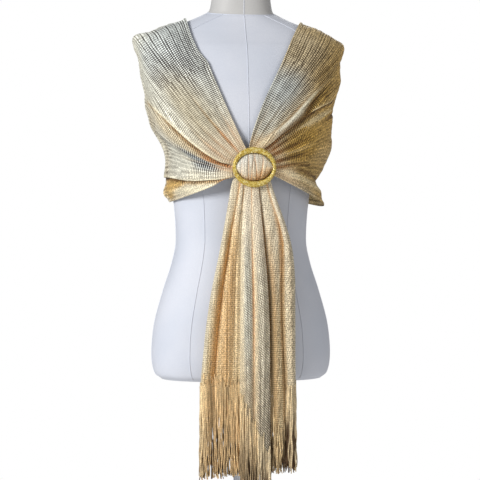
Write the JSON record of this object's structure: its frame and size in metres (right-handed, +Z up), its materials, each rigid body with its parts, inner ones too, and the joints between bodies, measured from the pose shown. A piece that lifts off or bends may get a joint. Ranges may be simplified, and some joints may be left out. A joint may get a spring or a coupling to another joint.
{
  "type": "evening stole on a dress form",
  "caption": "Metallic open-knit evening stole drawn through an oval slide buckle into fringed tails, worn on a limbless dress form with a pole and round base.",
  "frame": {"origin": "centre of the base's underside", "axes": "+Z up along the pole, the form faces -Y, +X is the side of its left shoulder"},
  "size_m": [0.3944, 0.38, 1.4414],
  "materials": {
    "stole_cloth": "open knit with gold metallic yarn",
    "fringe": "twisted metallic yarn",
    "buckle": "yellow gold plate with a glittering grain",
    "form": "smooth white cover",
    "pole": "satin",
    "base": "satin white paint"
  },
  "bodies": {
    "root": {"stole_wing_right": "stole_cloth", "stole_wing_left": "stole_cloth", "stole_back": "stole_cloth", "stole_gather": "stole_cloth", "tail_under": "stole_cloth", "tail_over": "stole_cloth", "fringe_under": "fringe", "fringe_over": "fringe", "buckle": "buckle", "form_torso": "form", "form_neck": "form", "form_pole": "pole", "form_base": "base"}
  },
  "joints": []
}
